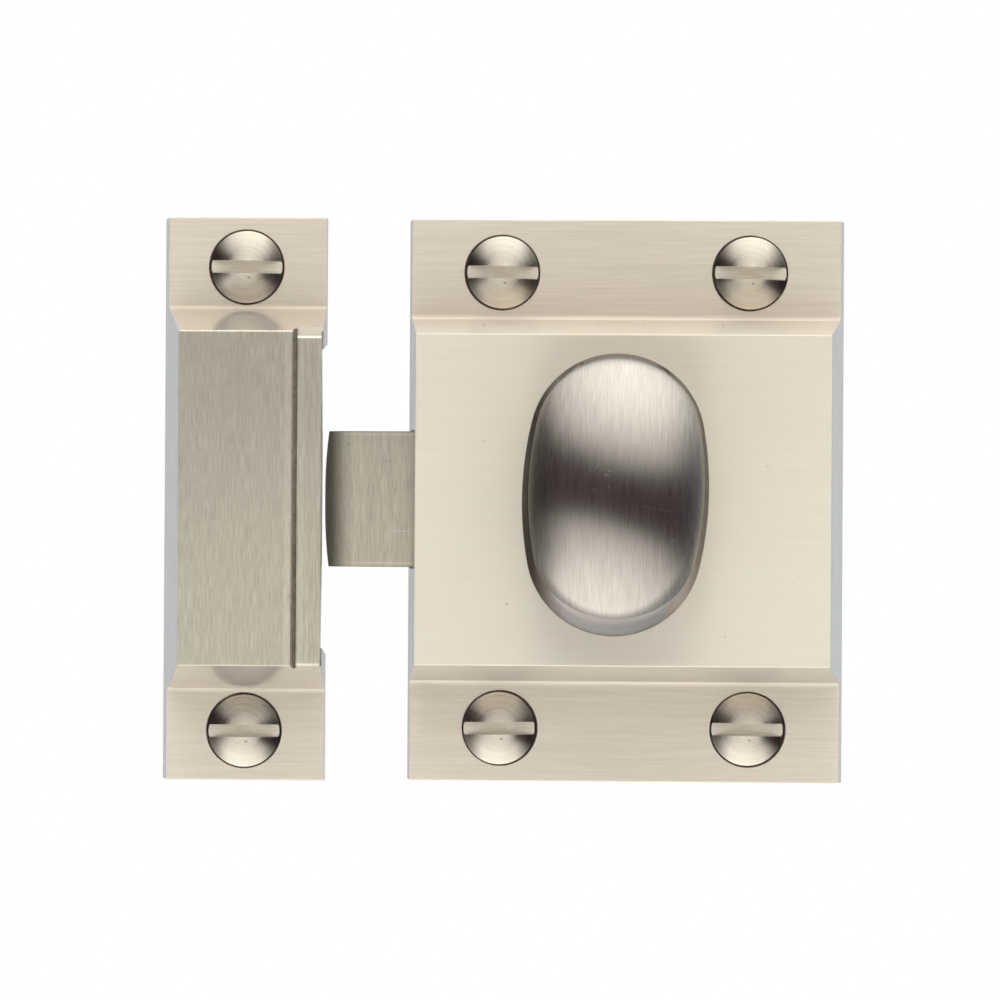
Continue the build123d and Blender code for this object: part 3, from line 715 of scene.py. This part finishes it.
# The bolt is brushed in front and buffed on its top and bottom. The inner pieces have one finish each.
innerPieces = {
    "plainBrass": ["back_plate", "cam_washer", "cam"],
    "zincSteel": ["cam_screw"] + [name for name in nodes if name.startswith("back_plate_screw")],
    "buffedBack": ["knob_washer"],  # plated, since its edge shows
}


def boltFinish(middle, normal):
    return "buffed" if abs(normal.z) > facing["aside"] else "boltBrushed"


paintFaces(nodes["bolt"].data, ["boltBrushed", "buffed"], boltFinish)
for finish, names in innerPieces.items():
    for name in names:
        paintFaces(nodes[name].data, [finish], lambda middle, normal: finish)
print("castings, bolt and inner pieces finished")


# The knob: an oval with a swung dome, a plain band round its edge, and the neck it turns on
knob = {
    "lean": 1.6,  # degrees, clockwise from the front
    "halfWidth": 8.3, "halfHeight": 12.6, "endRadius": 7.8,
    "apex": 22.5, "waist": 15.2, "under": 12.9,
    "domeAcross": 8.95, "domeUp": 15.75,
    "band": {"right": 0.45, "left": 0.70, "top": 0.70, "bottom": 1.80},  # how wide it shows from the front
    "underTaper": 45.0, "waistRound": 0.6,
    "crease": (0.22, 0.34),  # how far the dome's edge is rounded, and how much more for each mm of band
    "creaseDrop": 1.1,  # how far down the band, as a share of that
    "neck": 4.4, "flare": 1.1, "shoulder": 9.85, "journal": 3.5, "journalEnd": 7.2,
    "tang": 3.6, "tangEnd": 4.85,
    "sidePoints": 40, "endPoints": 72,
    "domeRings": 48, "domeReach": (0.02, 0.97),  # the first ring's share of the dome, and what the others add
    "creaseRings": 5, "brushedRings": 3, "waistRings": 8, "neckRings": 8,
    "sharp": 32,  # degrees, above which edges are sharp
}


def ovalNormals(k):  # the outline as normal angle, arc centre and arc radius, evenly spaced on each arc
    a, b, end = k["halfWidth"], k["halfHeight"], k["endRadius"]
    drop = b - end
    side = (a * a + drop * drop - end * end) / (2 * (a - end))
    joint = math.atan2(drop, side - a)
    arcs = []
    for middle, half, centre, radius, count in (
        (0.0, joint, (a - side, 0.0), side, k["sidePoints"]),
        (math.pi / 2, math.pi / 2 - joint, (0.0, drop), end, k["endPoints"]),
        (math.pi, joint, (side - a, 0.0), side, k["sidePoints"]),
        (-math.pi / 2, math.pi / 2 - joint, (0.0, -drop), end, k["endPoints"]),
    ):
        for i in range(count):
            arcs.append((middle - half + 2 * half * i / count, centre, radius))
    return arcs


def inset(arc, step):
    angle, centre, radius = arc
    return centre[0] + (radius - step) * math.cos(angle), centre[1] + (radius - step) * math.sin(angle)


def domeDepth(k, x, z):
    sag = k["domeAcross"] - math.sqrt(max(0.0, k["domeAcross"] ** 2 - x * x))
    swing = k["domeUp"] - sag
    return k["apex"] - k["domeUp"] + math.sqrt(max(0.0, swing * swing - z * z))


def bandWidth(k, angle):
    right, left, top, bottom = (k["band"][side] for side in ("right", "left", "top", "bottom"))
    across, upright = (right + left) / 2, (top + bottom) / 2
    width = (across + upright) / 2 + (across - upright) / 2 * math.cos(2 * angle)
    return width + (right - left) / 2 * math.cos(angle) + (top - bottom) / 2 * math.sin(angle)


def knobSide(k, arc):  # one line down the knob from its dome's edge to its underside, as points (x, z, depth)
    width = bandWidth(k, arc[0])
    x, z = inset(arc, width)
    top = domeDepth(k, x, z)
    slope = width / (top - k["waist"])
    crease = k["crease"][0] + k["crease"][1] * width
    back = 1 - crease / math.hypot(x, z)
    start = Vector((x * back, z * back, domeDepth(k, x * back, z * back)))
    lower = top - crease * k["creaseDrop"]
    end = Vector((*inset(arc, (lower - k["waist"]) * slope), lower))
    edge = Vector((x, z, top))
    steps = [i / k["creaseRings"] for i in range(k["creaseRings"] + 1)]
    line = [(1 - t) ** 2 * start + 2 * t * (1 - t) * edge + t * t * end for t in steps]

    upper, under = math.atan(slope), math.radians(k["underTaper"])
    reach = k["waistRound"] / (1 + math.cos(upper + under))
    centre = (reach * (math.cos(upper) + math.cos(under)), k["waist"] - reach * (math.sin(upper) - math.sin(under)))
    turns = [upper - (upper + under) * i / k["waistRings"] for i in range(k["waistRings"] + 1)]
    rounded = [(centre[0] - k["waistRound"] * math.cos(t), centre[1] + k["waistRound"] * math.sin(t)) for t in turns]
    for share in (0.25, 0.5, 0.75):
        depth = lower + (rounded[0][1] - lower) * share
        line.append(Vector((*inset(arc, (depth - k["waist"]) * slope), depth)))
    drop = k["waist"] - k["under"]
    rounded += [(drop * share * math.tan(under), k["waist"] - drop * share) for share in (0.4, 0.6, 0.8, 1.0)]
    line += [Vector((*inset(arc, step), depth)) for step, depth in rounded]
    return line


def makeKnob(k):
    low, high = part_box("knob")
    middle = (low + high) / (2 * mm)
    arcs = ovalNormals(k)
    lean = math.radians(k["lean"])

    def ring(points, lean=lean):
        return [(
            middle.x + x * math.cos(lean) + z * math.sin(lean), -depth,
            middle.z - x * math.sin(lean) + z * math.cos(lean),
        ) for x, z, depth in points]

    sides = [knobSide(k, arc) for arc in arcs]
    rings, finish = [], []
    first, rest = k["domeReach"]
    for i in range(k["domeRings"]):
        share = first + rest * i / (k["domeRings"] - 1)
        inner = [(line[0].x * share, line[0].y * share) for line in sides]
        rings.append(ring([(x, z, domeDepth(k, x, z)) for x, z in inner]))
        finish.append("knobBrushed")
    for i in range(len(sides[0])):
        rings.append(ring([tuple(line[i]) for line in sides]))
        finish.append("knobBrushed" if i < k["brushedRings"] else "knobEdge")

    wide = k["neck"] + k["flare"]
    for share in (0.33, 0.66, 1.0):
        points = []
        for arc, line in zip(arcs, sides):
            x, z = line[-1].x, line[-1].y
            circle = (wide * math.cos(arc[0]), wide * math.sin(arc[0]))
            points.append((x + (circle[0] - x) * share, z + (circle[1] - z) * share, k["under"]))
        rings.append(ring(points))
        finish.append("knobEdge")
    necks = []
    for i in range(1, k["neckRings"] + 1):
        angle = math.pi / 2 * i / k["neckRings"]
        necks.append((wide - k["flare"] * math.sin(angle), k["under"] - k["flare"] * (1 - math.cos(angle))))
    necks += [(k["neck"], k["shoulder"]), (k["journal"], k["shoulder"]), (k["journal"], k["journalEnd"])]
    for radius, depth in necks:
        rings.append(ring([(radius * math.cos(arc[0]), radius * math.sin(arc[0]), depth) for arc in arcs], 0.0))
        finish.append("knobEdge")
    half = k["tang"] / 2
    for depth in (k["journalEnd"], k["tangEnd"]):
        points = []
        for angle, _, _ in arcs:
            reach = half / max(abs(math.cos(angle)), abs(math.sin(angle)))
            points.append((reach * math.cos(angle), reach * math.sin(angle), depth))
        rings.append(ring(points, 0.0))
        finish.append("knobEdge")
    piece = loft("turnKnob", rings, finish, k["sharp"])
    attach(piece, "knob_body")
    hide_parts("knob")


makeKnob(knob)
print("knob turned")


# Wood screws with a raised slotted head and a cut thread
screw = {
    "flange": 2.4, "rim": 0.12, "head": 3.27, "rise": 1.12, "waist": 1.7, "shank": 1.75,
    "crown": 1.6,  # 2 is a plain arc, more is flatter in the middle and rounder at the rim
    "slotWidth": 1.15, "slotDepth": 0.95, "length": 16.0, "point": 4.0,
    "threadStart": -1.6, "pitch": 1.41, "root": 1.3, "around": 48, "domeRings": 18,
    "thread": [(0.0, 1.0), (0.10, 1.0), (0.38, 0.0), (0.62, 0.0)],  # share of a turn, share of the ridge's height
    "tipCore": 0.82,  # the core's share of the point's width
    "headBack": 1.5,  # behind this depth the finish is the shank's
    "sharp": 30,
    "seats": {  # degrees that each slot stands off level, and how far the head sits off its hole's middle, in mm
        "case_screw_1": (0.8, 0.05, 0.0), "case_screw_2": (1.0, 0.06, 0.01), "case_screw_3": (-0.6, -0.05, -0.02),
        "case_screw_4": (0.3, -0.04, 0.02), "keeper_screw_1": (0.5, 0.03, 0.0), "keeper_screw_2": (-0.4, 0.02, -0.02),
    },
}


def screwMesh(s):
    around = [2 * math.pi * i / s["around"] for i in range(s["around"])]
    work = bmesh.new()

    def row(points):  # radius and depth all the way round
        spots = [(r * math.cos(a), -d, r * math.sin(a)) for (r, d), a in zip(points, around)]
        return [work.verts.new(Vector(spot) * mm) for spot in spots]

    def bridge(first, second):
        for i in range(s["around"]):
            j = (i + 1) % s["around"]
            work.faces.new((first[i], first[j], second[j], second[i]))

    rim = s["flange"] + s["rim"]
    rise = s["rise"] - s["rim"]
    profile = []
    for i in range(1, s["domeRings"] + 1):
        share = math.sin(math.pi / 2 * i / s["domeRings"])
        profile.append((s["head"] * share, rim + rise * (1 - share ** s["crown"])))
    profile += [
        (s["head"], s["flange"]), (s["waist"], s["flange"] - (s["head"] - s["waist"])),
        (s["waist"], 0.0), (s["shank"], 0.0), (s["shank"], s["threadStart"]),
    ]
    rows = [row([p] * s["around"]) for p in profile]
    work.faces.new(rows[0])
    for first, second in zip(rows, rows[1:]):
        bridge(first, second)

    tip = s["flange"] - s["length"]
    turns = int((s["threadStart"] - tip) / s["pitch"]) + 2
    helix = []
    for turn in range(-1, turns):
        for share, ridge in s["thread"]:
            points = []
            for i, a in enumerate(around):
                depth = s["threadStart"] - s["pitch"] * (turn + share + i / s["around"])
                held = max(tip, min(s["threadStart"], depth))
                fade = min(1.0, max(0.0, (s["threadStart"] - held) / s["pitch"]))
                core = s["shank"] + (s["root"] - s["shank"]) * fade
                r = core + (s["shank"] - core) * ridge
                cone = s["shank"] * (held - tip) / s["point"]
                points.append((max(0.0, min(r, cone * (s["tipCore"] + (1 - s["tipCore"]) * ridge))), held))
            helix.append(row(points))
    lead = len(s["thread"])
    for k, first in enumerate(helix[:-1]):
        second = helix[k + 1]
        for i in range(s["around"] - 1):
            work.faces.new((first[i], first[i + 1], second[i + 1], second[i]))
        if k + lead + 1 < len(helix):
            work.faces.new((first[-1], helix[k + lead][0], helix[k + lead + 1][0], second[-1]))
    bmesh.ops.remove_doubles(work, verts=work.verts, dist=weld)
    bmesh.ops.dissolve_degenerate(work, edges=work.edges, dist=weld)
    loose = [v for v in work.verts if not v.link_faces]
    bmesh.ops.delete(work, geom=loose, context="VERTS")
    bmesh.ops.recalc_face_normals(work, faces=work.faces)
    return asMesh(work, "woodScrew")


def cutSlot(mesh, s):
    floor = s["flange"] + s["rise"] - s["slotDepth"]
    half = s["slotWidth"] / 2
    over, wide = floor + 2, 2 * s["head"]
    made = carve(mesh, [prism([(-half, floor), (half, floor), (half, over), (-half, over)], "x", -wide, wide)])

    def screwFinish(middle, normal):
        if abs(-middle.y - floor) < near["hair"] and abs(middle.z) < half:
            return "screwSlot"
        return "screwShank" if -middle.y < s["headBack"] else "screwTurned"

    paintFaces(made, ["screwTurned", "screwSlot", "screwShank"], screwFinish)
    smooth(made, s["sharp"])
    return made


def makeScrews(s):
    mesh = cutSlot(screwMesh(s), s)
    for name, (turn, across, up) in s["seats"].items():
        low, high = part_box(name)
        piece = addPiece(name.replace("_", "") + "Threaded", mesh)
        place = Matrix.Translation(((low.x + high.x) / 2 + across * mm, 0.0, (low.z + high.z) / 2 + up * mm))
        piece.matrix_world = place @ Matrix.Rotation(math.radians(turn), 4, "Y")
        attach(piece, "root")
        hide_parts(name)


makeScrews(screw)
print("screws cut:", len(screw["seats"]))


# The bolt's spring, wound at its rest length; on the latch it shortens as the bolt is drawn in
spring = {
    "wire": 0.225, "radius": 1.9, "turns": 6.5, "depth": 4.375,  # wire is half its thickness
    "around": 12, "perTurn": 40, "sharp": 32,
    "keep": 0.34,  # the share of its length that is left when the bolt is drawn in
}


def makeSpring(s):
    low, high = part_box("bolt_spring")
    start, end = low.x / mm + s["wire"], high.x / mm - s["wire"]
    count = int(s["turns"] * s["perTurn"])
    rings = []
    for i in range(count + 1):
        turn = 2 * math.pi * s["turns"] * i / count
        out = Vector((0.0, math.cos(turn), math.sin(turn)))
        middle = Vector((start + (end - start) * i / count, -s["depth"], 0.0)) + out * s["radius"]
        along = Vector((1.0, 0.0, 0.0))
        rings.append([
            middle + out * (s["wire"] * math.cos(a)) + along * (s["wire"] * math.sin(a))
            for a in (2 * math.pi * j / s["around"] for j in range(s["around"]))
        ])
    piece = loft("boltSpringWire", rings, ["springWire"] * len(rings), s["sharp"])
    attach(piece, "root")
    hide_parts("bolt_spring")
    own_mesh(piece)


makeSpring(spring)
print("spring wound")
